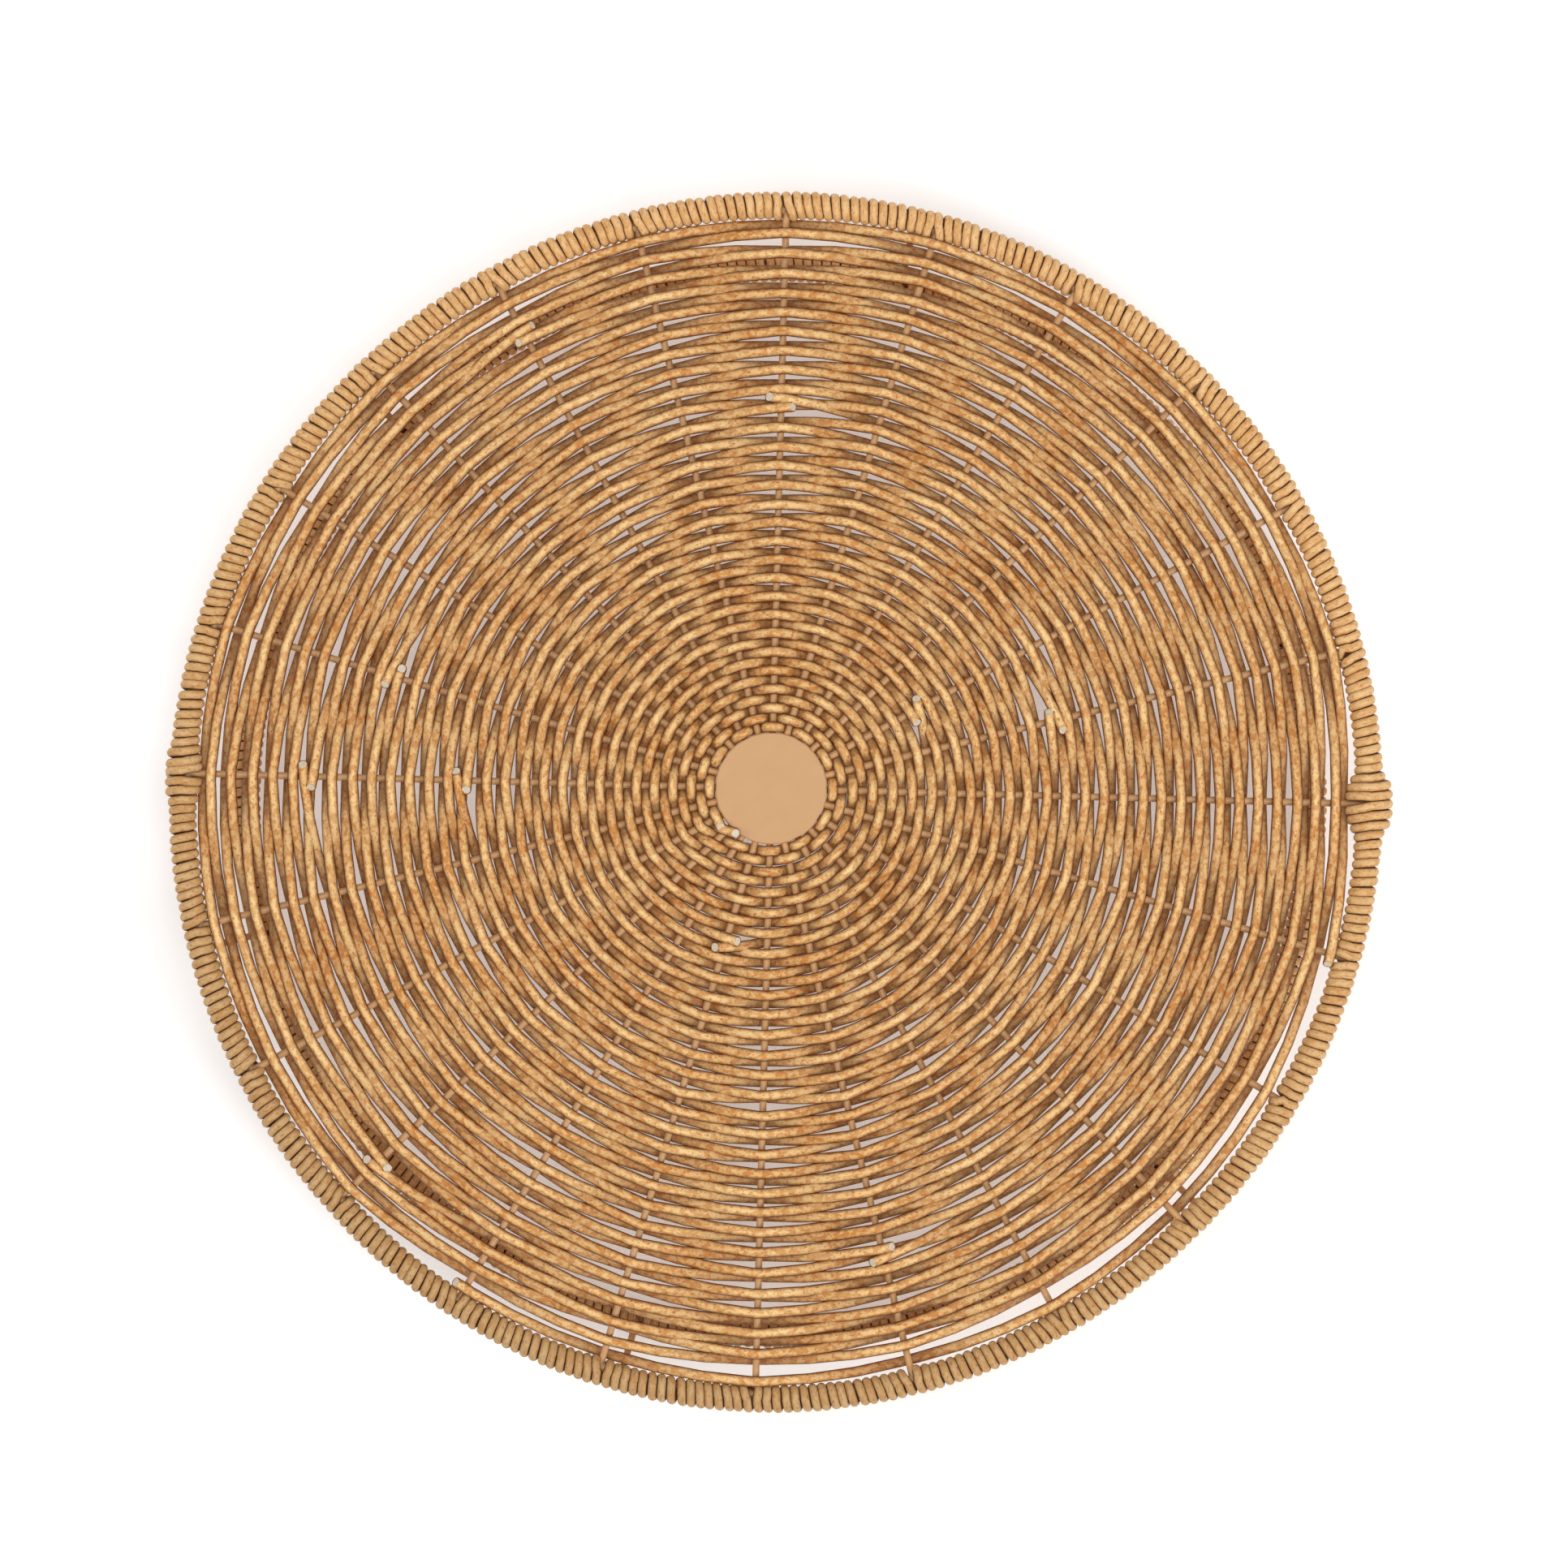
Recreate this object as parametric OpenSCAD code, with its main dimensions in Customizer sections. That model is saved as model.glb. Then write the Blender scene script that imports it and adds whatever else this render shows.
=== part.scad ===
// Round woven tray: two strands chase each other over and under a fan of
// wire spokes, inside a wrapped wire rim, on a wrapped foot ring.
// Millimetres, +Z up. The origin is on the floor, under the rim's centre.

/* [Rim] */
// Diameter of the rim wire's circle, along the middle of the wire
rim_d = 371; // [300:1:450]
// Thickness of the rim wire and of the foot ring wire
ring_wire_d = 3; // [2:0.1:4]

/* [Foot] */
// How far the foot ring lies inside the rim, from one wire to the other
foot_inset = 16; // [8:0.5:30]
// Height from the foot ring wire to the rim wire, middle to middle
foot_drop = 25; // [18:0.5:40]
// Number of struts between the foot ring and the rim
strut_count = 6; // [4:2:8]
// Thickness of a strut
strut_d = 2.2; // [1.6:0.1:3]

/* [Hub and spokes] */
// Diameter of the sheet metal disc in the middle
hub_d = 35; // [30:0.5:60]
// Thickness of the disc
hub_t = 1.2; // [0.8:0.1:2]
// How far the disc sits off the rim's centre, along X and Y
hub_shift = [-2.7, 4.2]; // [-6:0.1:6]
// Number of spokes, an even number
spoke_count = 24; // [16:2:24]
// Thickness of a spoke
spoke_d = 2.2; // [1.6:0.1:2.7]

/* [Strand] */
// Width of a woven strand, across the rows
strand_w = 2.8; // [2.2:0.1:3.4]
// Thickness of a woven strand where it is pulled tight over a spoke
strand_t = 2.4; // [1.8:0.1:2.6]
// Diameter of the round strand that is wound round the two rings
wrap_strand_d = 3; // [2:0.1:3.5]
// Length of a join in the rim's winding, where two lengths overlap
join_length = 15; // [8:0.5:24]
// How far the join at the left stands proud of the winding beside it
left_join_rise = 1.3; // [0:0.1:3]
// How far the join at the right stands proud, where the strand is wound over twice
right_join_rise = 3; // [0:0.1:3]

/* [Weave] */
// Free space between two neighbouring rows
row_gap = 0.14; // [0.1:0.01:1]
// How much wider the outer rows are spaced than the inner ones, as a share
row_opening = 0.035; // [0:0.001:0.2]
// Cut lengths of the first strand, from the hub outwards, in thousandths of it
cuts_a = [73, 208, 171, 184, 180, 184];
// Cut lengths of the second strand, from the hub outwards, in thousandths of it
cuts_b = [67, 175, 221, 183, 181, 173];

/* [Hidden] */
$fa = 4;
$fs = 0.4;

// Clearances
seat = 0.05;        // between a strand and the spoke that it lies on
edge_gap = 0.15;    // between the hub disc and the first row
rim_gap = 0.3;      // between the last row and the rim wrap
wire_gap = 0.2;     // between a wrap and a wire that comes through it
butt_gap = 1;       // between the ends of two lengths of one strand
stretch_gap = 0.05; // between two stretches of the foot ring's winding

// Rings
rim_r = rim_d / 2;
foot_r = rim_r - foot_inset;
wire_r = ring_wire_d / 2;
wrap_r = wire_r + wrap_strand_d;
foot_z = wrap_r;
rim_z = foot_z + foot_drop;

// Spokes
spoke_r = spoke_d / 2;
spoke_step = 360 / spoke_count;
first_angle = -136.5;
spoke_inner_r = spoke_d / (2 * sin(spoke_step / 2)) * 1.2;

// Weave
clear_r = spoke_r + strand_t / 2 + seat;
steepest = 71;
narrow_r = clear_r / sin(steepest) / sin(spoke_step / 2);
first_r = max(hub_d / 2 + edge_gap + strand_w / 2, narrow_r);
row_pitch = strand_w + row_gap;
row_limit_r = rim_r - wrap_r - rim_gap - strand_w / 2;
rows = (row_limit_r - first_r) / row_pitch;
section_sides = 5;
arch_bay = 3.1 * clear_r;
hug_turns = 3;      // turns in which a hug fades
hub_hug = 3;        // how late in the first turn a strand leaves the disc
rim_hug = 2;        // how early in the last turn a strand meets the rim

// Struts
strut_lead = 2.2;   // angle from a spoke to the strut beside it
strut_offset = 2;   // spokes from the first one back to the first strut

// Joins in the rim's winding, one at each side
join_spoke = 3;
half_spokes = spoke_count / 2;
half_struts = strut_count / 2;
foot_stretches = 4; // of winding between two struts

function unit(v) = v / norm(v);
function spoke_angle(j) = first_angle - spoke_step * j;
function along(a) = [cos(a), sin(a)];

// Distance from the disc's centre to the circle of radius r about the rim's
// centre, in the direction a
function reach(a, r) =
    let (p = hub_shift * along(a))
    -p + sqrt(p * p + r * r - hub_shift * hub_shift);

// Angle about the rim's centre at which spoke j meets the rim wire
function rim_angle(j) =
    let (a = spoke_angle(j), p = hub_shift + reach(a, rim_r) * along(a))
    atan2(p[1], p[0]);

function strut_angle(k) =
    strut_lead + rim_angle(round(k * spoke_count / strut_count) - strut_offset);

// Strand 0 passes over the odd spokes and strand 1 over the even ones
function side(strand, j) = (j + strand) % 2 == 0 ? -1 : 1;

// Last crossing that the strand reaches before the rim is full, on top of a spoke:
// strand 1 lies a row further out, so it meets the rim before strand 0 does
function end_crossing(strand) =
    on_top(strand, floor((rows / 2 - pow(strand / 2, 1 / rim_hug)) * spoke_count));
function on_top(strand, j) = side(strand, j) > 0 ? j : j - 1;

// Turns that a strand is off an even spiral, t turns away from the end of the
// weave that it hugs: it keeps to the end's own circle for most of a turn
function hug(t, power) =
    let (whole = floor(t), part = t - whole)
    t < 0 ? 0 : (part - pow(part, power)) * exp(-whole / hug_turns);

// Row of strand 0 or 1 at crossing j, counted from the disc. The first turns hug
// the disc until they meet their own start, and the last ones hug the rim
function row(strand, j) =
    let (t = max(0, j / spoke_count))
    strand + 2 * (t - hug(t, hub_hug) + hug(rows / 2 - t, rim_hug));

// How far the last row gives way to a join in the rim's winding
function join_dent(j) =
    j % spoke_count == join_spoke ? left_join_rise
    : j % spoke_count == join_spoke + half_spokes ? right_join_rise : 0;

// Distance of a strand from the disc's centre at crossing j
function row_r(strand, j) =
    let (last = reach(spoke_angle(j), row_limit_r), x = row(strand, j) / rows)
    first_r + (last - first_r) * x * (1 - row_opening + row_opening * x)
        - join_dent(j) * pow(x, 3);

// Point of a strand beside spoke j: the offset s is measured along the row from
// the spoke and h is the height over the spoke
function strand_point(strand, j, s, h) =
    let (a = spoke_angle(j), p = hub_shift + row_r(strand, j) * along(a) + s * along(a - 90))
    [p[0], p[1], rim_z + h];

function bay(strand, j) = 2 * row_r(strand, j) * sin(spoke_step / 2);

// Points of one crossing: a bend round the spoke where the spokes are close
// together, and a single point where the strand runs nearly flat
function crossing(strand, j) =
    let (l = bay(strand, j), up = side(strand, j))
    l < arch_bay
        ? let (lean = asin(2 * clear_r / l), r = clear_r / cos(lean / 3))
          [for (k = [-1, -1 / 3, 1 / 3, 1])
              strand_point(strand, j, r * sin(k * lean), up * r * cos(k * lean))]
        : [strand_point(strand, j, 0,
              up * clear_r * l / sqrt(l * l - 4 * clear_r * clear_r))];

function sum_to(list, k) = k < 0 ? 0 : list[k] + sum_to(list, k - 1);

// Last crossing of cut length k, which is on top of a spoke too. Over t turns an
// even spiral from radius b runs 2 * PI * (b * t + row_pitch * t * t)
function last_crossing(strand, cuts, k) =
    let (b = first_r + row_pitch * strand,
         t = end_crossing(strand) / spoke_count,
         share = sum_to(cuts, k) / sum_to(cuts, len(cuts) - 1),
         run = (b * t + row_pitch * t * t) * share,
         turns = (sqrt(b * b + 4 * row_pitch * run) - b) / (2 * row_pitch))
    share == 1 ? end_crossing(strand) : on_top(strand, floor(turns * spoke_count));

// Middle line of cut length k, from the middle of one bay to that of another
function cut_line(strand, cuts, k) =
    let (j0 = k == 0 ? 0 : last_crossing(strand, cuts, k - 1) + 1,
         j1 = last_crossing(strand, cuts, k),
         line = [for (j = [j0 : j1]) each crossing(strand, j)],
         before = crossing(strand, j0 - 1),
         after = crossing(strand, j1 + 1),
         head = (line[0] + before[len(before) - 1]) / 2,
         tail = (line[len(line) - 1] + after[0]) / 2)
    concat([head + unit(line[0] - head) * butt_gap / 2],
           line,
           [tail + unit(line[len(line) - 1] - tail) * butt_gap / 2]);

// A strand with a flattened round section, swept along a line of points
module swept_strand(line) {
    n = len(line);
    m = section_sides;
    points = [
        for (i = [0 : n - 1])
            let (t = unit(line[min(i + 1, n - 1)] - line[max(i - 1, 0)]),
                 e = unit([-t[1], t[0], 0]),
                 up = cross(t, e))
            for (k = [0 : m - 1])
                let (q = 90 + 360 * k / m)
                line[i] + e * cos(q) * strand_w / 2 + up * sin(q) * strand_t / 2
    ];
    faces = concat(
        [[for (k = [0 : m - 1]) k]],
        [[for (k = [m - 1 : -1 : 0]) (n - 1) * m + k]],
        [for (i = [0 : n - 2], k = [0 : m - 1])
            [i * m + k, (i + 1) * m + k, (i + 1) * m + (k + 1) % m]],
        [for (i = [0 : n - 2], k = [0 : m - 1])
            [i * m + k, (i + 1) * m + (k + 1) % m, i * m + (k + 1) % m]]
    );
    polyhedron(points, faces, convexity = 10);
}

// A ring of round wire
module ring(r, z, section_r) {
    translate([0, 0, z])
        rotate_extrude()
            translate([r, 0]) circle(section_r);
}

// A stretch of the sleeve that a wound strand makes round a ring wire
module sleeve(r, z, from, sweep, outer_r = wrap_r) {
    translate([0, 0, z])
        rotate([0, 0, from])
            rotate_extrude(angle = sweep)
                translate([r, 0])
                    difference() {
                        circle(outer_r);
                        circle(wire_r);
                    }
}

// Straight round wire between two points
module wire(a, b, r) {
    d = b - a;
    translate(a)
        rotate([0, acos(d[2] / norm(d)), atan2(d[1], d[0])])
            cylinder(r = r, h = norm(d));
}

module strut_line(k, r) {
    a = strut_angle(k);
    wire([foot_r * cos(a), foot_r * sin(a), foot_z],
         [rim_r * cos(a), rim_r * sin(a), rim_z], r);
}

// Disc of sheet metal with its edge rolled down a little
module hub_disc() {
    edge = hub_t * 0.45;
    color("#dbab7b")
        translate([hub_shift[0], hub_shift[1], rim_z + spoke_r])
            rotate_extrude()
                difference() {
                    union() {
                        square([hub_d / 2 - edge, hub_t]);
                        square([hub_d / 2, hub_t - edge]);
                        translate([hub_d / 2 - edge, hub_t - edge]) circle(edge);
                    }
                    translate([-hub_d, -1]) square([hub_d, hub_t + 2]);
                }
}

// Spoke wire, welded to the underside of the disc and to the rim wire
module spoke(j) {
    a = spoke_angle(j);
    c = [hub_shift[0], hub_shift[1], rim_z];
    u = [cos(a), sin(a), 0];
    color("#a5773f")
        difference() {
            wire(c + spoke_inner_r * u, c + reach(a, rim_r) * u, spoke_r);
            ring(rim_r, rim_z, wire_r);
        }
}

module rim_wire() {
    color("#a5773f") ring(rim_r, rim_z, wire_r);
}

module foot_ring_wire() {
    color("#a5773f") ring(foot_r, foot_z, wire_r);
}

module strut(k) {
    color("#8a6436")
        difference() {
            strut_line(k, strut_d / 2);
            ring(rim_r, rim_z, wire_r);
            ring(foot_r, foot_z, wire_r);
        }
}

function sweep_between(a, b) = (b - a + 720) % 360;

// Wound strand from spoke to spoke on half of the rim, thicker at the joins at
// its two ends and open where each spoke and strut comes in
module rim_wrap(first, last, first_rise, last_rise) {
    half_gap = (spoke_r + wire_gap) / rim_r * 180 / PI;
    half_join = join_length / 2 / rim_r * 180 / PI - half_gap;
    color("#dcb47d")
        difference() {
            for (j = [first : last])
                let (from = rim_angle(j + 1) + half_gap,
                     sweep = sweep_between(rim_angle(j + 1), rim_angle(j)) - 2 * half_gap,
                     join_from = from + sweep - half_join) {
                    sleeve(rim_r, rim_z, from, sweep);
                    if (j == first)
                        sleeve(rim_r, rim_z, join_from, half_join, wrap_r + first_rise);
                    if (j == last)
                        sleeve(rim_r, rim_z, from, half_join, wrap_r + last_rise);
                }
            for (k = [0 : strut_count - 1])
                strut_line(k, strut_d / 2 + wire_gap);
        }
}

// Wound strand from strut to strut on half of the foot ring, in stretches
module foot_wrap(first, last) {
    half_gap = (strut_d / 2 + wire_gap) / foot_r * 180 / PI;
    slit = stretch_gap / foot_r * 180 / PI;
    color("#c99f68")
        for (k = [first : last], i = [0 : foot_stretches - 1])
            let (from = strut_angle(k + 1) + half_gap,
                 share = (sweep_between(strut_angle(k + 1), strut_angle(k)) - 2 * half_gap)
                     / foot_stretches)
            sleeve(foot_r, foot_z, from + i * share, share - slit);
}

module weaver(strand, cuts, k) {
    color(strand == 0 ? "#e1b478" : "#d3a566")
        swept_strand(cut_line(strand, cuts, k));
}

function spoke_name(j) = str("spoke_", j < 9 ? "0" : "", j + 1);

hub_disc();
rim_wire();
foot_ring_wire();
rim_wrap(join_spoke, join_spoke + half_spokes - 1, left_join_rise, right_join_rise);  // rim_wrap_back
rim_wrap(join_spoke + half_spokes, join_spoke + spoke_count - 1,  // rim_wrap_front
             right_join_rise, left_join_rise);
foot_wrap(1, half_struts);  // foot_wrap_back
foot_wrap(1 + half_struts, strut_count);  // foot_wrap_front
for (j = [0 : spoke_count - 1])
    spoke(j);
for (k = [0 : strut_count - 1])
    strut(k);
for (k = [0 : len(cuts_a) - 1])
    weaver(0, cuts_a, k);
for (k = [0 : len(cuts_b) - 1])
    weaver(1, cuts_b, k);
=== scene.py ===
# %% [markdown]
# # A round woven tray on a wire frame
#
# The tray is a fan of painted wire spokes round a small metal disc. Two strands of plastic
# rattan chase each other over and under the spokes, from the disc to the rim. The rim is a wire
# ring with the same strand wound tightly round it, and a second wound ring below is the foot.
#
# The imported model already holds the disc, the wires and plain stand-ins for every strand. This
# lesson keeps the metal as it is, and makes the strands again as smooth round surfaces.

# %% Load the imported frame
import bpy
import numpy as np
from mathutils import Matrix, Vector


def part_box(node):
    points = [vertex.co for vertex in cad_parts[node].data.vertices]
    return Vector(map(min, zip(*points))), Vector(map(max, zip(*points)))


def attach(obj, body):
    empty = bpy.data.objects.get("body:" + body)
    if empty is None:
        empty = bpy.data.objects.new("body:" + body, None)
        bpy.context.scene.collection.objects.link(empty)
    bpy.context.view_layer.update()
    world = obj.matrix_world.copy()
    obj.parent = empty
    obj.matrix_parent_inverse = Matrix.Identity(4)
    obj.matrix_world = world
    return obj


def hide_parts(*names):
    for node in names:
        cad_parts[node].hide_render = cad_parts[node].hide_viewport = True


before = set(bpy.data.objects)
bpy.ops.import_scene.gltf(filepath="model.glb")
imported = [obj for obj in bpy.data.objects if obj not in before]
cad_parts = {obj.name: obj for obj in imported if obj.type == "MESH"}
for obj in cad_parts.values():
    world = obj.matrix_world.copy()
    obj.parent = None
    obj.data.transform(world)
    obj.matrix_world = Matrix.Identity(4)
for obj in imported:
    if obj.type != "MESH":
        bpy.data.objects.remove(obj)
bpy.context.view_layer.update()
print("nodes in the frame:", len(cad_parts))

# %% [markdown]
# ## Sizes
#
# Every size is read from the frame's own nodes, in metres, so that the new strands lie where
# the plain ones lay. A node's box gives its lowest and highest corner. The way the weave is
# laid out can't be read from a box, so its few numbers are written here as they are in the
# part: the angle of the first spoke, the space between rows and how the rows open outwards.
# The woven strand is pressed a little flat, so it has a width and a height of its own.

# %% Read the sizes
MM = 0.001


def node_box(name):
    """Lowest and highest corner of a node, as two arrays."""
    low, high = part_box(name)
    return np.array(low), np.array(high)


def ring_sizes(name):
    """Centre line radius, height and wire radius of a level ring, from its box."""
    low, high = node_box(name)
    wire = (high[2] - low[2]) / 2
    return (high[0] - low[0]) / 2 - wire, (high[2] + low[2]) / 2, wire


RIM_R, RIM_Z, WIRE_R = ring_sizes("rim_wire")
FOOT_R, FOOT_Z, _ = ring_sizes("foot_ring_wire")
hub_low, hub_high = node_box("hub_disc")
HUB = (hub_low[:2] + hub_high[:2]) / 2
HUB_R = (hub_high[0] - hub_low[0]) / 2
SPOKE_COUNT = 24
SPOKE_STEP = np.radians(360 / SPOKE_COUNT)
SPOKE_R = hub_low[2] - RIM_Z
FIRST_ANGLE = np.radians(-136.5)
WRAP_R = FOOT_Z
STRAND_D = WRAP_R - WIRE_R
WEAVE_WIDTH = 3.35 * MM
WEAVE_HEIGHT = 2.6 * MM
print(f"rim {RIM_R:.4f} m at {RIM_Z:.4f}, foot {FOOT_R:.4f} m at {FOOT_Z:.4f}, strand {STRAND_D:.4f} m")

# %% [markdown]
# ## The camera
#
# The tray is seen from straight above. The camera stands 1.6 m over the rim, and its lens is
# chosen so that the rim fills a little over three quarters of the picture. The tray sits a few
# millimetres off the middle of the picture, so the camera stands as much to the other side.

# %% Camera
VIEW_WIDTH = 0.4907
CAMERA_HEIGHT = 1.6
camera_data = bpy.data.cameras.new("camera")
camera_data.sensor_width = 36
camera_data.lens = 36 * CAMERA_HEIGHT / VIEW_WIDTH
camera = bpy.data.objects.new("camera", camera_data)
camera.location = (0.0013, 0.0056, RIM_Z + CAMERA_HEIGHT)
bpy.context.scene.collection.objects.link(camera)
bpy.context.scene.camera = camera
print(f"lens {camera_data.lens:.1f} mm")

# %% [markdown]
# ## A surface carried along a line
#
# Every strand is one idea: a round outline carried along a path. At each station of the path
# there are three directions: forwards along the path, up, and sideways. A point of the surface
# is the station plus a bit of sideways and a bit of up, as the angle goes once round. All the
# stations and all the angles are worked out together as one array.
#
# The surface keeps a UV map whose first number is the distance run along the strand and whose
# second is the distance round it, so that a pattern can follow the strand through every bend.

# %% Sweep


def directions(path, up_hint):
    """Forward, up and side directions at each station of a path.

    Forward is the difference between the next and the last station, up is the hint with its
    forward share taken away, and side is up crossed with forward."""
    forward = np.gradient(path, axis=0)
    forward /= np.linalg.norm(forward, axis=1, keepdims=True)
    up = up_hint - forward * (up_hint * forward).sum(axis=1, keepdims=True)
    up /= np.linalg.norm(up, axis=1, keepdims=True)
    return forward, up, np.cross(up, forward)


def sweep(path, up_hint, half_width, half_height, sides, slants):
    """Vertices, faces, UVs and material numbers of a strand with two cut ends.

    Ring point = station + side * cos(angle) * half width + up * sin(angle) * half height.
    A cut end has a thin rim of skin and then one flat face of core. Its slant draws the upper
    edge back and pushes the lower edge on, so that the cut face looks partly upwards."""
    forward, up, side = directions(path, up_hint)
    angle = np.arange(sides) * 2 * np.pi / sides
    across = side[:, None] * (np.cos(angle)[None, :, None] * half_width[:, None, None])
    lift = up[:, None] * (np.sin(angle)[None, :, None] * half_height[:, None, None])
    rings = path[:, None] + across + lift
    lean = np.sin(angle)[:, None] * half_width[0]
    rings[0] += forward[0] * lean * slants[0]
    rings[-1] -= forward[-1] * lean * slants[1]
    inner = [path[i] + 0.8 * (rings[i] - path[i]) for i in (0, -1)]
    rings = np.concatenate([inner[0][None], rings, inner[1][None]])
    count = len(rings)
    grid = np.arange(count * sides).reshape(count, sides)
    turned = np.roll(grid, -1, axis=1)
    quads = np.stack([grid[:-1], turned[:-1], turned[1:], grid[1:]], axis=-1).reshape(-1, 4)
    run = np.concatenate([[0], np.cumsum(np.linalg.norm(np.diff(path, axis=0), axis=1))])
    run = np.concatenate([run[:1], run, run[-1:]])
    around = np.arange(sides + 1) / sides * 2 * np.pi * half_width[0]
    u = np.broadcast_to(run[:, None], (count, sides + 1))
    v = np.broadcast_to(around, (count, sides + 1))
    uv = np.stack([u, v], axis=-1)
    corner_uv = np.stack([uv[:-1, :-1], uv[:-1, 1:], uv[1:, 1:], uv[1:, :-1]], axis=2)
    return rings.reshape(-1, 3), quads, corner_uv.reshape(-1, 2), grid[0][::-1], grid[-1]


def strand_mesh(name, parts, materials):
    """One object from several swept strands: the parts' arrays are joined end to end."""
    points, quads, uvs, caps, base = [], [], [], [], 0
    for part_points, part_quads, part_uv, head, tail in parts:
        points.append(part_points)
        quads.append(part_quads + base)
        uvs.append(part_uv)
        caps += [head + base, tail + base]
        base += len(part_points)
    points, quads, uvs = np.concatenate(points), np.concatenate(quads), np.concatenate(uvs)
    mesh = bpy.data.meshes.new(name)
    mesh.from_pydata(points, [], quads.tolist() + [cap.tolist() for cap in caps])
    layer = mesh.uv_layers.new(name="strand")
    flat = np.zeros((len(mesh.loops), 2), np.float32)
    flat[: len(uvs)] = uvs
    layer.data.foreach_set("uv", flat.ravel())
    numbers = np.zeros(len(mesh.polygons), np.int32)
    numbers[len(quads):] = 1
    mesh.polygons.foreach_set("material_index", numbers)
    mesh.polygons.foreach_set("use_smooth", numbers == 0)
    for material in materials:
        mesh.materials.append(material)
    mesh.update()
    piece = bpy.data.objects.new(name, mesh)
    bpy.context.scene.collection.objects.link(piece)
    return piece


# %% [markdown]
# ## Finishes
#
# Plastic rattan is a soft round cord with a printed skin: straw in colour, with honey coloured
# patches a few millimetres long, russet flecks, a fine grain and a dry, slightly waxy gloss.
# The patches are noise that is read from the strand's own UV map and stretched along it. Brown
# painted shade lies in the grooves between strands and where a strand dips low. The core shows only at cut
# ends and is off-white.
# The wires and the disc have smooth paint.

# %% Material helpers


def new_material(name):
    """An empty node material with a Principled shader joined to its output."""
    material = bpy.data.materials.new(name)
    material.use_nodes = True
    nodes = material.node_tree.nodes
    nodes.clear()
    shader = nodes.new("ShaderNodeBsdfPrincipled")
    output = nodes.new("ShaderNodeOutputMaterial")
    material.node_tree.links.new(shader.outputs["BSDF"], output.inputs["Surface"])
    return material, shader


def add_node(material, kind, inputs=(), **settings):
    """A node with its settings made and its inputs linked or set."""
    node = material.node_tree.nodes.new(kind)
    for key, value in settings.items():
        setattr(node, key, value)
    for key, value in dict(inputs).items():
        if hasattr(value, "links"):
            material.node_tree.links.new(value, node.inputs[key])
        else:
            node.inputs[key].default_value = value
    return node


def linear(red, green, blue):
    """A colour given as it looks on a screen, 0 to 255, as the linear light that it stands for."""
    shade = np.array([red, green, blue]) / 255
    light = np.where(shade <= 0.04045, shade / 12.92, ((shade + 0.055) / 1.055) ** 2.4)
    return (*light.tolist(), 1.0)


def blend_colours(material, share, first, second):
    """Mixes two colours by a share that is a number or a node's output."""
    mix = add_node(material, "ShaderNodeMix", data_type="RGBA")
    for number, value in ((0, share), (6, first), (7, second)):
        if hasattr(value, "links"):
            material.node_tree.links.new(value, mix.inputs[number])
        else:
            mix.inputs[number].default_value = value
    return mix.outputs[2]


def noise_share(material, vector, scale, low, high, detail=3.0):
    """Noise turned into a share from 0 to 1, with a soft edge between low and high."""
    noise = add_node(material, "ShaderNodeTexNoise", {"Vector": vector, "Scale": scale, "Detail": detail})
    ramp = add_node(material, "ShaderNodeMapRange", {"Value": noise.outputs["Fac"],
                    "From Min": low, "From Max": high}, interpolation_type="SMOOTHSTEP")
    return ramp.outputs["Result"]


# %% Strand skin and core
PATCHES_PER_M = (320.0, 420.0, 1.0)
GRAINS_PER_M = (900.0, 1900.0, 1.0)
BANDS_PER_M = (26.0, 60.0, 1.0)
FLECKS_PER_PATCH = 3.0
# Painted shade: the tint that a strand's colour is multiplied by in its crevices and where it lies low,
# and the heights over which that painted shade fades out.
PAINTED_SHADE_TINT = (0.2, 0.065, 0.008)
PAINTED_SHADE_DEPTH = (-1.5 * MM, 3.0 * MM)
SHADED_SIDE = (0.4, 0.9, 0.0)


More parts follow.
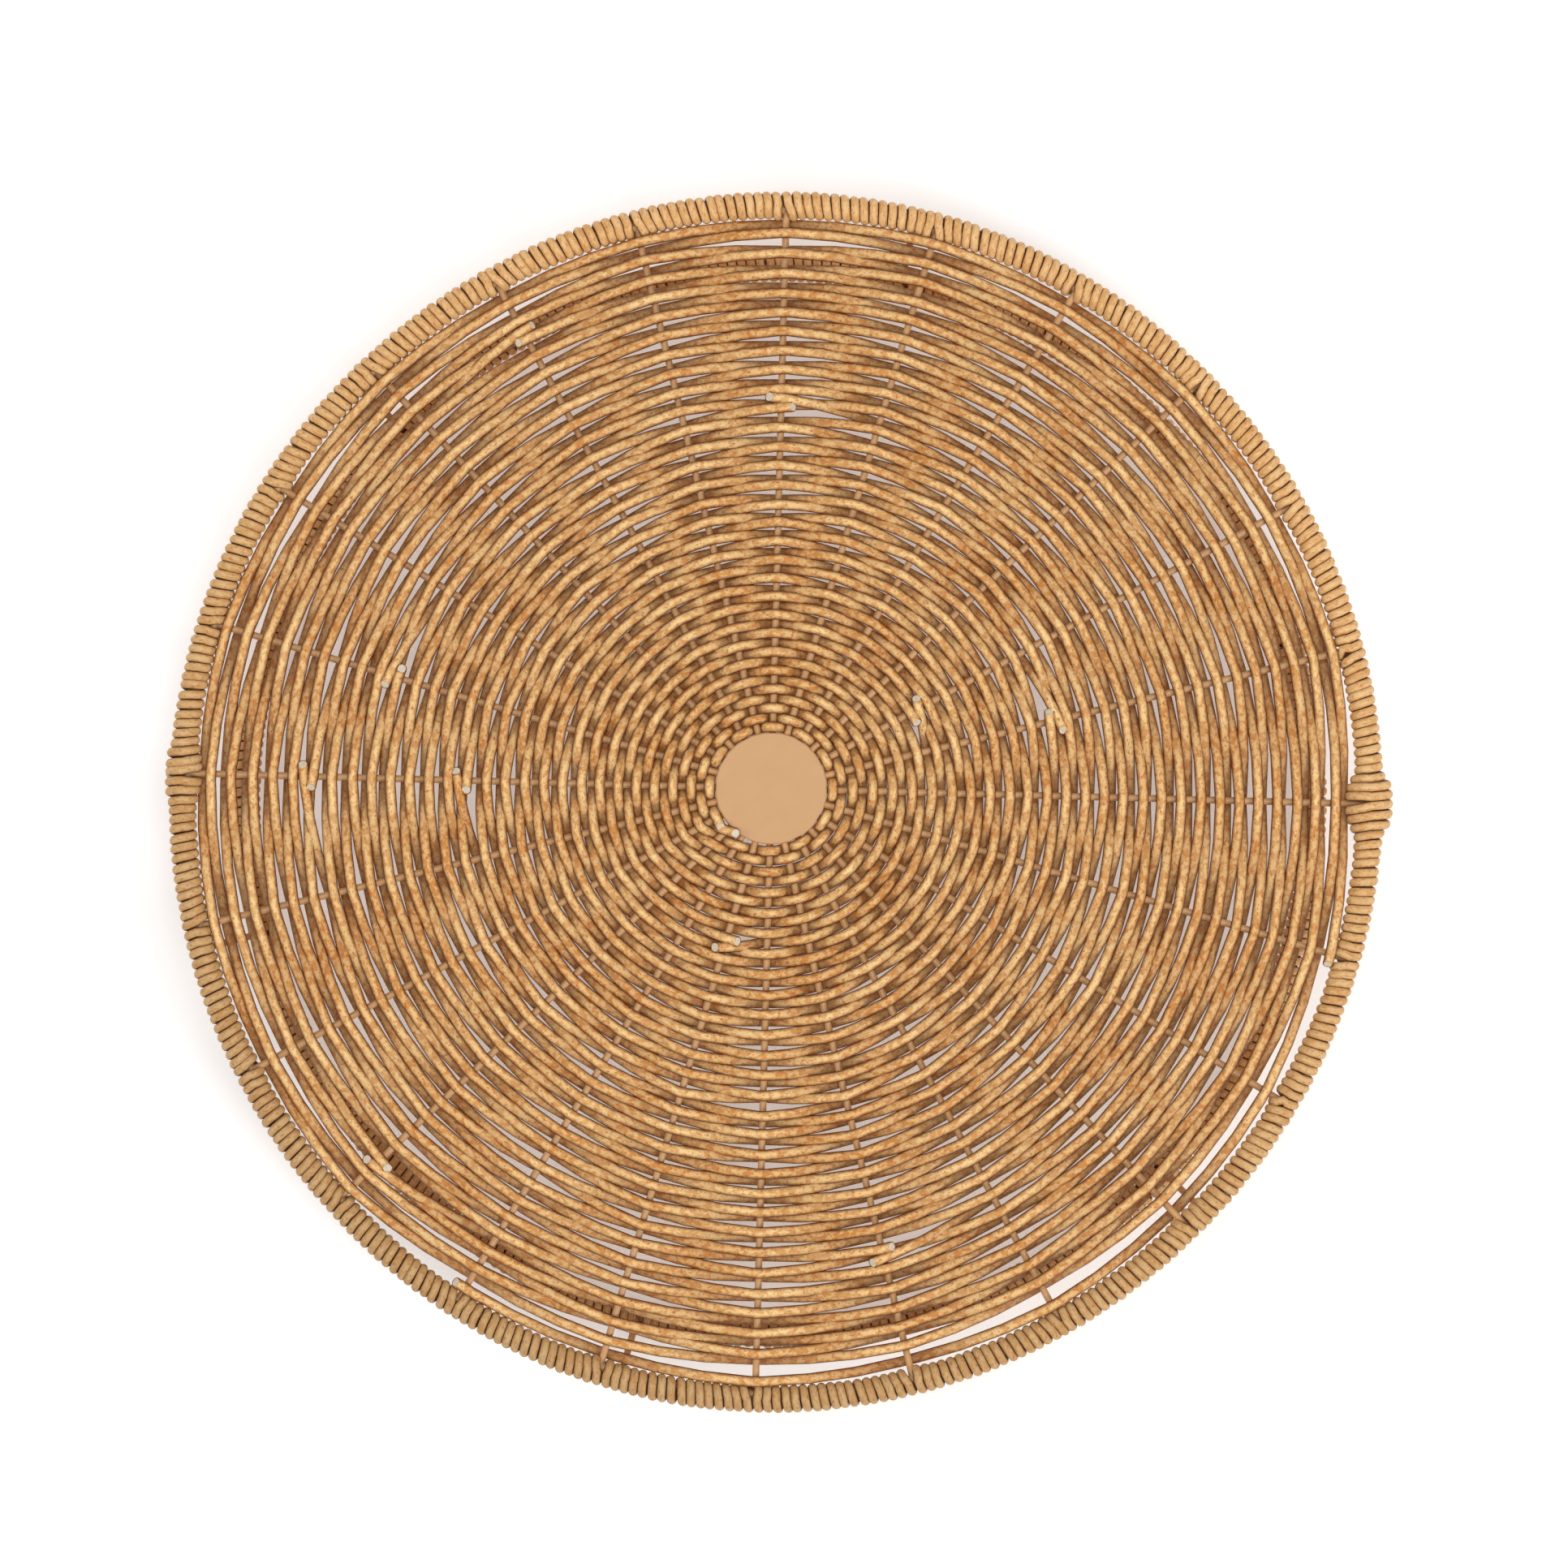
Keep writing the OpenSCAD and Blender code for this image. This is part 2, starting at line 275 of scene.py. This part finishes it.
def strand_skin(name, pale, honey, russet, width, spread, sink, fade):
    """Printed skin: straw, with honey patches, small russet flecks and a fine grain.

    Painted shade gathers where strands touch: it is strongest at the two sides of the strand, as
    |cos(angle round the strand)| ** spread. It also lies, as painted shade, where a strand dips under its neighbours,
    growing to the share sink as height above the spokes * sin(angle round the strand) falls.
    fade is how much darker the shaded side of the tray is."""
    material, shader = new_material(name)
    uv = add_node(material, "ShaderNodeUVMap", uv_map="strand").outputs["UV"]
    place = add_node(material, "ShaderNodeTexCoord").outputs["Object"]
    long_way = add_node(material, "ShaderNodeVectorMath",
                        {0: uv, 1: PATCHES_PER_M}, operation="MULTIPLY").outputs[0]
    fine_way = add_node(material, "ShaderNodeVectorMath",
                        {0: uv, 1: GRAINS_PER_M}, operation="MULTIPLY").outputs[0]
    wide = noise_share(material, place, 55.0, 0.36, 0.64)
    patch = noise_share(material, long_way, 1.3, 0.46, 0.58)
    fleck = noise_share(material, long_way, FLECKS_PER_PATCH, 0.56, 0.66)
    grain = noise_share(material, fine_way, 1.0, 0.3, 0.7)
    long_patch = add_node(material, "ShaderNodeVectorMath",
                          {0: uv, 1: BANDS_PER_M}, operation="MULTIPLY").outputs[0]
    band = noise_share(material, long_patch, 1.0, 0.38, 0.62)
    colour = blend_colours(material, patch, pale, honey)
    warm = blend_colours(material, wide, pale, honey)
    colour = blend_colours(material, 0.25, colour, warm)
    warm = blend_colours(material, band, pale, honey)
    colour = blend_colours(material, 0.3, colour, warm)
    fleck_part = add_node(material, "ShaderNodeMath", {0: fleck, 1: 0.6}, operation="MULTIPLY").outputs[0]
    colour = blend_colours(material, fleck_part, colour, russet)
    darker = add_node(material, "ShaderNodeMapRange", {"Value": grain, "To Min": 0.9, "To Max": 1.05})
    # Painted shade: the colour is darkened by the tint at the strand's two sides, where it touches its
    # neighbours, and where its surface lies low under the spokes or faces down.
    around = add_node(material, "ShaderNodeSeparateXYZ", {"Vector": uv}).outputs["Y"]
    turn = add_node(material, "ShaderNodeMath", {0: around, 1: 2 / width}, operation="MULTIPLY").outputs[0]
    sideways = add_node(material, "ShaderNodeMath", {0: turn}, operation="COSINE").outputs[0]
    sideways = add_node(material, "ShaderNodeMath", {0: sideways}, operation="ABSOLUTE").outputs[0]
    painted_shade = add_node(material, "ShaderNodeMath", {0: sideways, 1: spread}, operation="POWER").outputs[0]
    up = add_node(material, "ShaderNodeMath", {0: turn}, operation="SINE").outputs[0]
    height = add_node(material, "ShaderNodeSeparateXYZ", {"Vector": place}).outputs["Z"]
    height = add_node(material, "ShaderNodeMath", {0: height, 1: RIM_Z}, operation="SUBTRACT").outputs[0]
    outer = add_node(material, "ShaderNodeMath", {0: height, 1: up}, operation="MULTIPLY").outputs[0]
    sunk = add_node(material, "ShaderNodeMapRange", {"Value": outer, "From Min": PAINTED_SHADE_DEPTH[0],
                    "From Max": PAINTED_SHADE_DEPTH[1], "To Min": sink, "To Max": 0.0}).outputs["Result"]
    painted_shade = add_node(material, "ShaderNodeMath", {0: painted_shade, 1: sunk}, operation="MAXIMUM").outputs[0]
    shaded_colour = add_node(material, "ShaderNodeVectorMath",
                       {0: colour, 1: PAINTED_SHADE_TINT}, operation="MULTIPLY").outputs[0]
    colour = blend_colours(material, painted_shade, colour, shaded_colour)
    sun = add_node(material, "ShaderNodeVectorMath", {0: place, 1: SHADED_SIDE},
                   operation="DOT_PRODUCT").outputs["Value"]
    light = add_node(material, "ShaderNodeMapRange", {"Value": sun, "From Min": -0.17, "From Max": 0.13,
                     "To Min": 1 - fade, "To Max": 1.0}).outputs["Result"]
    level = add_node(material, "ShaderNodeMath", {0: darker.outputs["Result"], 1: light},
                     operation="MULTIPLY").outputs[0]
    shade = add_node(material, "ShaderNodeVectorMath", {0: colour, "Scale": level}, operation="SCALE")
    material.node_tree.links.new(shade.outputs[0], shader.inputs["Base Color"])
    rough = add_node(material, "ShaderNodeMapRange", {"Value": grain, "To Min": 0.5, "To Max": 0.68})
    material.node_tree.links.new(rough.outputs["Result"], shader.inputs["Roughness"])
    bump = add_node(material, "ShaderNodeBump", {"Height": grain, "Strength": 0.35, "Distance": 0.0001})
    material.node_tree.links.new(bump.outputs["Normal"], shader.inputs["Normal"])
    shader.inputs["Specular IOR Level"].default_value = 0.35
    return material


def strand_core():
    """Foamed off-white core at a cut end, with fine pores."""
    material, shader = new_material("strand_core")
    place = add_node(material, "ShaderNodeTexCoord").outputs["Object"]
    pores = noise_share(material, place, 2400.0, 0.4, 0.6)
    colour = blend_colours(material, pores, linear(212, 196, 172), linear(232, 220, 200))
    material.node_tree.links.new(colour, shader.inputs["Base Color"])
    shader.inputs["Roughness"].default_value = 0.7
    bump = add_node(material, "ShaderNodeBump", {"Height": pores, "Strength": 0.4, "Distance": 0.0001})
    material.node_tree.links.new(bump.outputs["Normal"], shader.inputs["Normal"])
    return material


weave_skin = strand_skin("weave_skin", linear(255, 214, 148), linear(212, 138, 62), linear(172, 84, 24),
                         WEAVE_WIDTH, 2.5, 0.64, 0.0)
wrap_skin = strand_skin("wrap_skin", linear(246, 202, 142), linear(226, 168, 102), linear(190, 116, 56),
                        STRAND_D, 7.0, 0.0, 0.3)
core = strand_core()
print("finishes made for the strands")

# %% Paint


def paint(name, colour, shadow, roughness, ripple):
    """Smooth sprayed paint: a faint change of tone, and a fine orange peel in its gloss."""
    material, shader = new_material(name)
    place = add_node(material, "ShaderNodeTexCoord").outputs["Object"]
    tone = noise_share(material, place, 160.0, 0.3, 0.75)
    mixed = blend_colours(material, tone, colour, shadow)
    material.node_tree.links.new(mixed, shader.inputs["Base Color"])
    shader.inputs["Roughness"].default_value = roughness
    peel = noise_share(material, place, 1400.0, 0.3, 0.7, detail=1.0)
    bump = add_node(material, "ShaderNodeBump", {"Height": peel, "Strength": ripple, "Distance": 0.00005})
    material.node_tree.links.new(bump.outputs["Normal"], shader.inputs["Normal"])
    return material


hub_paint = paint("hub_paint", linear(205, 156, 103), linear(202, 153, 100), 0.42, 0.15)
wire_paint = paint("wire_paint", linear(212, 162, 108), linear(192, 142, 90), 0.38, 0.25)


def repaint(node, material):
    """Gives a node of the frame its finish, in place of the plain one it came with."""
    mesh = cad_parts[node].data
    mesh.materials.clear()
    mesh.materials.append(material)


repaint("hub_disc", hub_paint)
wires = [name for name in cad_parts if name.startswith(("spoke_", "strut_"))]
for wire_name in wires + ["rim_wire", "foot_ring_wire"]:
    repaint(wire_name, wire_paint)
print("painted", len(wires) + 3, "metal nodes")

# %% [markdown]
# ## Where the two strands cross the spokes
#
# Counted from the disc outwards, crossing number j is on spoke j modulo 24. Each turn of a
# strand moves it two rows out, because the other strand lies between. Row q is at a distance
# from the disc's middle that grows a little faster towards the rim. A hand-woven row never
# lies quite there: where a strand dips under a spoke it slides towards the disc, beneath its
# neighbour, and that opens the narrow slots of light that show beside the spokes.
#
# At its two ends the spiral isn't even. The first turn keeps close to the disc until it meets
# its own start and has to step outwards. The last turn keeps close to the rim.

# %% Rows
ROW_OPENING = 0.035
CAD_STRAND_W = 2.8 * MM
RIM_GAP = 0.1 * MM
EDGE_GAP = 0.15 * MM
FIRST_R = HUB_R + EDGE_GAP + CAD_STRAND_W / 2
LIMIT_R = RIM_R - WRAP_R - RIM_GAP - CAD_STRAND_W / 2
LAST_CROSSING = (647, 640)
ROWS = 1 + 2 * LAST_CROSSING[1] / SPOKE_COUNT
RIM_SHARE = 1 - (LAST_CROSSING[0] - LAST_CROSSING[1]) / SPOKE_COUNT
HUG_TURNS = 6
HUB_HUG = 16
RIM_HUG = 60
JOIN_RISES = ((3, 1.3 * MM), (15, 3.0 * MM))
DENT = 2.0 * MM
LEAST_SLIDE = 0.35
MOST_SLIDE = 1.85
HELD_ROWS = 1.6
HELD_SHARE = 0.2
SWAY = 0.35 * MM
WANDER_SIZE = 0.18
CROSSING_COUNT = 700
scatter = np.random.default_rng(24)
SLIP = scatter.uniform(0.0, 1.0, (2, CROSSING_COUNT))
WANDER = scatter.normal(0.0, 1.0, (2, CROSSING_COUNT))
HEIGHT = scatter.normal(0.0, 1.0, (2, CROSSING_COUNT))


def spoke_direction(j):
    """Unit direction of spoke j, counted clockwise from the first."""
    angle = FIRST_ANGLE - SPOKE_STEP * j
    return np.stack([np.cos(angle), np.sin(angle)], axis=-1)


def reach(direction, radius):
    """Distance from the disc's centre to a circle about the rim's centre: the positive root
    of |disc + distance * direction| = radius."""
    along = direction @ HUB
    return -along + np.sqrt(along**2 + radius**2 - HUB @ HUB)


def out_of_round(angle):
    """How far the rim stands outside its circle: a shift, an oval, and a little of three and
    four bulges, each as height * cos(count * angle + lead)."""
    shape = ((0, 0.5, 0.0), (1, 1.1, -171.0), (2, 0.7, -137.0), (3, 0.25, -113.0), (4, 0.3, 26.0))
    return sum(MM * height * np.cos(count * angle + np.radians(lead)) for count, height, lead in shape)


def over_spoke(strand, j):
    """+1 where the strand passes over spoke j, -1 where it passes under."""
    return np.where((j + strand) % 2 == 0, -1.0, 1.0)


def hug(turns, power, share):
    """Turns that a strand is off an even spiral, so many turns from the end it keeps to.

    share * (part - part ** power), where part is the broken part of the turns over share, and
    nothing outside that share. It fades as exp(-whole turns / 6). So the strand stays on the
    end's own circle for most of a turn, and then has to step away."""
    whole = np.floor(turns)
    part = (turns - whole) / share
    near = share * (part - part**power) * np.exp(-whole / HUG_TURNS)
    return np.where((turns < 0) | (part > 1), 0, near)


def crossings(strand, j):
    """Plan position of each crossing, and the direction of its spoke.

    The row is strand + 2 * turns, with the hugs at the disc and at the rim, and the last length
    moves out to the rim where the other one has ended. Its distance from the disc grows with
    the row's share of all rows, and gives way where the rim is thicker. The slide under a spoke
    is from LEAST_SLIDE to MOST_SLIDE millimetres, and only HELD_SHARE of that by the rim."""
    direction = spoke_direction(j)
    turns = j / SPOKE_COUNT
    left = LAST_CROSSING[1] / SPOKE_COUNT - turns
    begun = turns - 1 / SPOKE_COUNT
    row = strand + 2 * (turns - hug(begun, HUB_HUG, 1.0) + hug(left, RIM_HUG, RIM_SHARE))
    row = row + (ROWS - row) * np.clip(-left * SPOKE_COUNT / 2, 0, 1)
    row = np.where(j == 0, 0.0, row)
    share = row / ROWS
    angle = np.arctan2(direction[:, 1], direction[:, 0])
    span = reach(direction, LIMIT_R) + out_of_round(angle) - FIRST_R
    radius = FIRST_R + span * share * (1 - ROW_OPENING + ROW_OPENING * share)
    radius = radius - np.where(j % SPOKE_COUNT == JOIN_RISES[1][0], DENT, 0) * share**3
    ease = np.clip(share * 2.2 - 0.1, 0.05, 1) * MM
    under = over_spoke(strand, j) < 0
    inwards = LEAST_SLIDE + (MOST_SLIDE - LEAST_SLIDE) * SLIP[strand, j]
    slide = np.where(under, -inwards, 0.1) * ease * np.where(row > ROWS - HELD_ROWS, HELD_SHARE, 1)
    sway = SWAY * np.sin(3 * SPOKE_STEP * j + 9 * share) * np.sin(np.pi * share)
    radius = radius + slide + sway + WANDER_SIZE * ease * WANDER[strand, j]
    return HUB + direction * radius[:, None], direction


print(f"{ROWS:.1f} rows from {FIRST_R:.4f} to {LIMIT_R:.4f} m")

# %% [markdown]
# ## The line of a woven strand
#
# Seen from the side, a strand bends over one spoke, runs straight down to the next, and bends
# under it. The bend is an arc that rests on the spoke. Near the disc the spokes are only 5 mm
# apart, the arc is tight and the straight part is steep; at the rim it is a long shallow curve.
# For arcs of radius R whose centres are D apart, the straight part leaves at the angle
# arcsin(2R / D), less the slope of the line between the centres.
#
# Seen from above, a strand runs nearly straight between two spokes, and bows out a little.

# %% Woven line
CLEAR = SPOKE_R + WEAVE_HEIGHT / 2
BEND_GROWTH = 9.0
WIDEST_SHARE = 0.98
BOW = 0.032
UNEVEN = 0.08 * MM
ARC_SHARES = np.array([0, 0.34, 0.67, 1.0])


def woven_line(strand, j0, j1, shifts):
    """Middle line of a strand from crossing j0 to crossing j1, nine stations to a bay.

    shifts are how far the first and the last crossing stand out of their row. The radius of a
    bend grows with the square of the bay's length, up to where the two arcs would meet."""
    j = np.arange(j0, j1 + 1)
    plan, direction = crossings(strand, j)
    plan[0] += direction[0] * shifts[0]
    plan[-1] += direction[-1] * shifts[1]
    chord = plan[1:] - plan[:-1]
    length = np.linalg.norm(chord, axis=1)
    outward = np.stack([-chord[:, 1], chord[:, 0]], axis=1) / length[:, None]
    widest = (length**2 + 4 * CLEAR**2) / (8 * CLEAR)
    bend = np.minimum(CLEAR + BEND_GROWTH * length**2, WIDEST_SHARE * widest)
    apart = np.sqrt(length**2 + 4 * (bend - CLEAR) ** 2)
    lean = np.arcsin(2 * bend / apart) - np.arctan2(2 * (bend - CLEAR), length)
    turn = lean[:, None] * ARC_SHARES
    near = bend[:, None] * np.sin(turn)
    drop = CLEAR - bend[:, None] * (1 - np.cos(turn))
    far, climb = length[:, None] - near[:, :0:-1], -drop[:, :0:-1]
    step = np.array([1 / 3, 2 / 3])
    middle = near[:, -1:] + (far[:, :1] - near[:, -1:]) * step
    fall = drop[:, -1:] + (climb[:, :1] - drop[:, -1:]) * step
    along = np.concatenate([near, middle, far], axis=1) / length[:, None]
    height = np.concatenate([drop, fall, climb], axis=1) * over_spoke(strand, j[:-1])[:, None]
    bow = BOW * length[:, None] * 4 * along * (1 - along)
    flat = plan[:-1, None] + chord[:, None] * along[:, :, None] + outward[:, None] * bow[:, :, None]
    height = height + UNEVEN * HEIGHT[strand, j[:-1]][:, None] * np.sin(np.pi * along) ** 2
    line = np.concatenate([flat, height[:, :, None] + RIM_Z], axis=2).reshape(-1, 3)
    last = np.append(plan[-1], RIM_Z + over_spoke(strand, j1) * CLEAR)
    return np.vstack([line, last])


def add_stub(line, outward, length, lift, veer):
    """A cut end past the last crossing: it runs on, rises by lift and veers to one side."""
    start = line[-1]
    forward = start - line[-2]
    forward[2] = 0
    forward /= np.linalg.norm(forward)
    share = np.linspace(0.25, 1, 4)[:, None]
    rise = np.array([0, 0, 1.0]) * lift * share**1.5
    return np.vstack([line, start + forward * length * share + outward * veer * share + rise])


# %% [markdown]
# ## The joins
#
# Each strand is joined from six cut lengths. A join is made on top of a spoke: the old length
# ends just past it and the new one starts just before it. One of them moves a strand's width
# outwards to make room, so that two pale cut ends stand up side by side. The numbers below are
# the crossings where that happens, and those where it is the new length that moves outwards.

# %% Weave the twelve lengths
JOINS = ((133, 315, 417, 507, 583), (118, 278, 412, 500, 576))
NEW_OUTSIDE = (133, 412, 417)
ASIDE = 2.9 * MM
SIDES = 10
START_LIFT = 1.8
JOIN_LIFT = 0.7
for strand, letter in ((0, "a"), (1, "b")):
    stops = (1 - strand, *JOINS[strand], LAST_CROSSING[strand])
    for number in range(len(stops) - 1):
        j0, j1 = stops[number], stops[number + 1]
        joined = (number > 0, number < len(stops) - 2)
        aside = (joined[0] and j0 in NEW_OUTSIDE, joined[1] and j1 not in NEW_OUTSIDE)
        line = woven_line(strand, j0, j1, (ASIDE * aside[0], ASIDE * aside[1]))
        outwards = [np.append(spoke_direction(k), 0.0) for k in (j0, j1)]
        stub = scatter.uniform(2.8, 3.8, 2) * MM
        lift = np.array([JOIN_LIFT if number else START_LIFT, JOIN_LIFT])
        rise = lift * scatter.uniform(0.5, 1.4, 2) * MM
        line = add_stub(line, outwards[1], stub[1], rise[1], scatter.uniform(-0.4, 0.3) * MM)
        line = add_stub(line[::-1], outwards[0], stub[0], rise[0], scatter.uniform(-0.3, 0.4) * MM)[::-1]
        up = np.broadcast_to(np.array([0, 0, 1.0]), line.shape)
        swell = 1 + 0.02 * np.sin(np.arange(len(line)) * 0.37 + strand)
        part = sweep(line, up, WEAVE_WIDTH / 2 * swell, WEAVE_HEIGHT / 2 * swell, SIDES,
                     scatter.uniform(0.35, 0.75, 2))
        piece = strand_mesh(f"woven_strand_{letter}{number + 1}", [part], [weave_skin, core])
        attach(piece, "root")
        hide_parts(f"weaver_{letter}{number + 1}")
        run = np.linalg.norm(np.diff(line, axis=0), axis=1).sum()
        print(f"{piece.name}: {run:.2f} m, {len(piece.data.polygons)} faces")

# %% [markdown]
# ## Winding the rings
#
# The strand is wound round a ring wire like thread on a reel. The path is a helix bent into a
# circle: as one angle runs round the tray, a second angle turns round the wire once for each
# strand's width. Where a spoke or a strut comes in, the turns are pushed apart at that side
# only, so they fan out from it, and the two nearest stand a little prouder.

# %% Wound ring
PACKED = 0.985
STEPS_PER_TURN = 16
FAN_LENGTH = 3.2 * STRAND_D
PROUD = 0.7 * MM
UNEVEN_PITCH = 0.05
LOOSENESS = 0.07 * MM


def gap_push(turn_place, side_angle, places, side, half_gap, fade):
    """How far each point is pushed along the ring by the wires that come in.

    The push is half a gap at the wire, falls off as exp(-distance / fade), and is felt only
    where the winding faces the wire: it is scaled by the cosine of the angle to it."""
    distance = turn_place[:, None] - places[None]
    facing = np.clip(np.cos(side_angle - side), 0, 1)[:, None] ** 0.7
    return (np.sign(distance) * half_gap * np.exp(-np.abs(distance) / fade) * facing).sum(axis=1)


def winding(ring_r, ring_z, start, sweep_angle, gaps, side, joins, shape, seed):
    """A helix wound round part of a ring: see the lesson above for its two angles.

    Point = ring's centre line + outward * (wire radius + half a strand + what stands proud),
    where outward turns once round the wire for each strand's width run along the ring.

    gaps are angles on the ring where wires come in, at the angle side round the wire."""
    random = np.random.default_rng(seed)
    arc = abs(sweep_angle) * ring_r
    turns = int(arc / (STRAND_D * PACKED))
    count = turns * STEPS_PER_TURN + 1
    share = np.linspace(0, 1, count)
    round_wire = 2 * np.pi * turns * share
    place = share * arc
    sign = np.sign(sweep_angle)
    distances = ((gaps - start) * sign % (2 * np.pi)) * ring_r
    distances = np.concatenate([distances, distances - 2 * np.pi * ring_r])
    push = gap_push(place, round_wire, distances, side, SPOKE_R * 0.95, FAN_LENGTH)
    jitter = np.interp(share * turns, np.arange(turns + 1), random.normal(0, UNEVEN_PITCH, turns + 1))
    angle = start + sign * (place + push + jitter * STRAND_D) / ring_r
    nearest = np.abs(place[:, None] - distances[None]).min(axis=1)
    facing = np.clip(np.cos(round_wire - side), 0, 1)
    proud = PROUD * np.exp(-((nearest / (1.1 * STRAND_D)) ** 2)) * facing
    swell = np.zeros(count)
    for middle, length, rise in joins:
        at = ((middle - start) * sign % (2 * np.pi)) * ring_r
        off = np.minimum(np.abs(place - at), 2 * np.pi * ring_r - np.abs(place - at))
        swell = swell + rise / (1 + np.exp((off - length / 2) / (0.35 * STRAND_D)))
    loose = np.interp(share * turns, np.arange(turns + 1), random.normal(0, LOOSENESS, turns + 1))
    reach_out = WIRE_R + STRAND_D / 2 + proud + swell + loose
    away = np.stack([np.cos(angle), np.sin(angle), np.zeros(count)], axis=1)
    up = np.array([0, 0, 1.0])
    outward = away * np.cos(round_wire)[:, None] + up * np.sin(round_wire)[:, None]
    path = away * (ring_r + shape(angle))[:, None] + outward * reach_out[:, None] + up * ring_z
    half = np.full(count, STRAND_D / 2) * PACKED
    return sweep(path, outward, half, half * 0.97, SIDES, (0.3, 0.3)), turns


def rim_angle(j):
    """Angle about the rim's centre at which spoke j meets the rim wire."""
    direction = spoke_direction(j)
    point = HUB + direction * reach(direction, RIM_R)[:, None]
    return np.arctan2(point[:, 1], point[:, 0])


# %% [markdown]
# The rim's winding is two lengths, from the join at one side to the join at the other. At a
# join the ends are wound over each other, so a few turns stand prouder there.

# %% Wind the rim and the foot ring
STRUT_LEAD = np.radians(2.2)
JOIN_LENGTH = 0.015
all_spokes = rim_angle(np.arange(SPOKE_COUNT))
strut_angles = rim_angle(np.arange(-2, 22, 4)) + STRUT_LEAD
joins = [(rim_angle(np.array([j]))[0], JOIN_LENGTH, rise) for j, rise in JOIN_RISES]
inward = np.pi
for first, second, label in ((3, 15, "back"), (15, 27, "front")):
    start, stop = rim_angle(np.array([first, second]))
    turn = (stop - start) % (2 * np.pi) - 2 * np.pi
    part, turns = winding(RIM_R, RIM_Z, start, turn, all_spokes, inward, joins, out_of_round, first)
    piece = strand_mesh(f"rim_winding_{label}", [part], [wrap_skin, core])
    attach(piece, "root")
    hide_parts(f"rim_wrap_{label}")
    print(f"{piece.name}: {turns} turns, {len(piece.data.polygons)} faces")
for first, last, label in ((1, 4, "back"), (4, 1, "front")):
    start, stop = strut_angles[first], strut_angles[last]
    turn = (stop - start) % (2 * np.pi) - 2 * np.pi
    seed = 40 + first
    part, turns = winding(FOOT_R, FOOT_Z, start, turn, strut_angles, np.pi / 2, [], np.zeros_like, seed)
    piece = strand_mesh(f"foot_winding_{label}", [part], [wrap_skin, core])
    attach(piece, "root")
    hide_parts(f"foot_wrap_{label}")
    print(f"{piece.name}: {turns} turns, {len(piece.data.polygons)} faces")

# %% [markdown]
# ## Floor and light
#
# The floor is one pale, matt sheet, lit a little from within like a light table, so that it
# stays pale under the tray too and shows through the slots of the weave. The light is a large
# soft lamp overhead, a key lamp low on the near right that brings out the round of each strand,
# and two weaker ones at the left and at the back.

# %% Floor
floor_material, floor_shader = new_material("floor")
floor_shader.inputs["Base Color"].default_value = (0.9, 0.9, 0.9, 1)
floor_shader.inputs["Roughness"].default_value = 0.9
floor_shader.inputs["Emission Color"].default_value = (1, 1, 1, 1)
floor_shader.inputs["Emission Strength"].default_value = 0.3
floor_mesh = bpy.data.meshes.new("floor")
FLOOR = 4.0
floor_mesh.from_pydata([(-FLOOR, -FLOOR, 0), (FLOOR, -FLOOR, 0), (FLOOR, FLOOR, 0), (-FLOOR, FLOOR, 0)],
                       [], [(0, 1, 2, 3)])
floor_mesh.materials.append(floor_material)
floor = bpy.data.objects.new("floor", floor_mesh)
bpy.context.scene.collection.objects.link(floor)

# %% Lights


def soft_lamp(name, place, aim, size, power):
    """A square lamp that faces a point."""
    data = bpy.data.lights.new(name, "AREA")
    data.size = size
    data.energy = power
    lamp = bpy.data.objects.new(name, data)
    lamp.location = place
    away = np.array(place) - np.array(aim)
    turn = np.arctan2(away[1], away[0]) + np.pi / 2
    tilt = np.arctan2(np.hypot(away[0], away[1]), away[2])
    lamp.rotation_euler = (tilt, 0, turn)
    bpy.context.scene.collection.objects.link(lamp)
    return lamp


soft_lamp("overhead", (0.0, 0.0, 2.6), (0, 0, 0), 1.6, 25)
soft_lamp("key", (1.3, -1.1, 1.5), (0, 0, 0), 0.8, 20)
soft_lamp("side_left", (-1.8, 0.2, 1.3), (0, 0, 0), 1.0, 11)
soft_lamp("side_back", (0.3, 1.8, 1.6), (0, 0, 0), 1.0, 8)
world = bpy.data.worlds.new("studio")
world.use_nodes = True
world.node_tree.nodes["Background"].inputs["Color"].default_value = (1, 1, 1, 1)
world.node_tree.nodes["Background"].inputs["Strength"].default_value = 0.24
bpy.context.scene.world = world
bpy.context.scene.view_settings.view_transform = "Standard"
print("floor and lights placed")
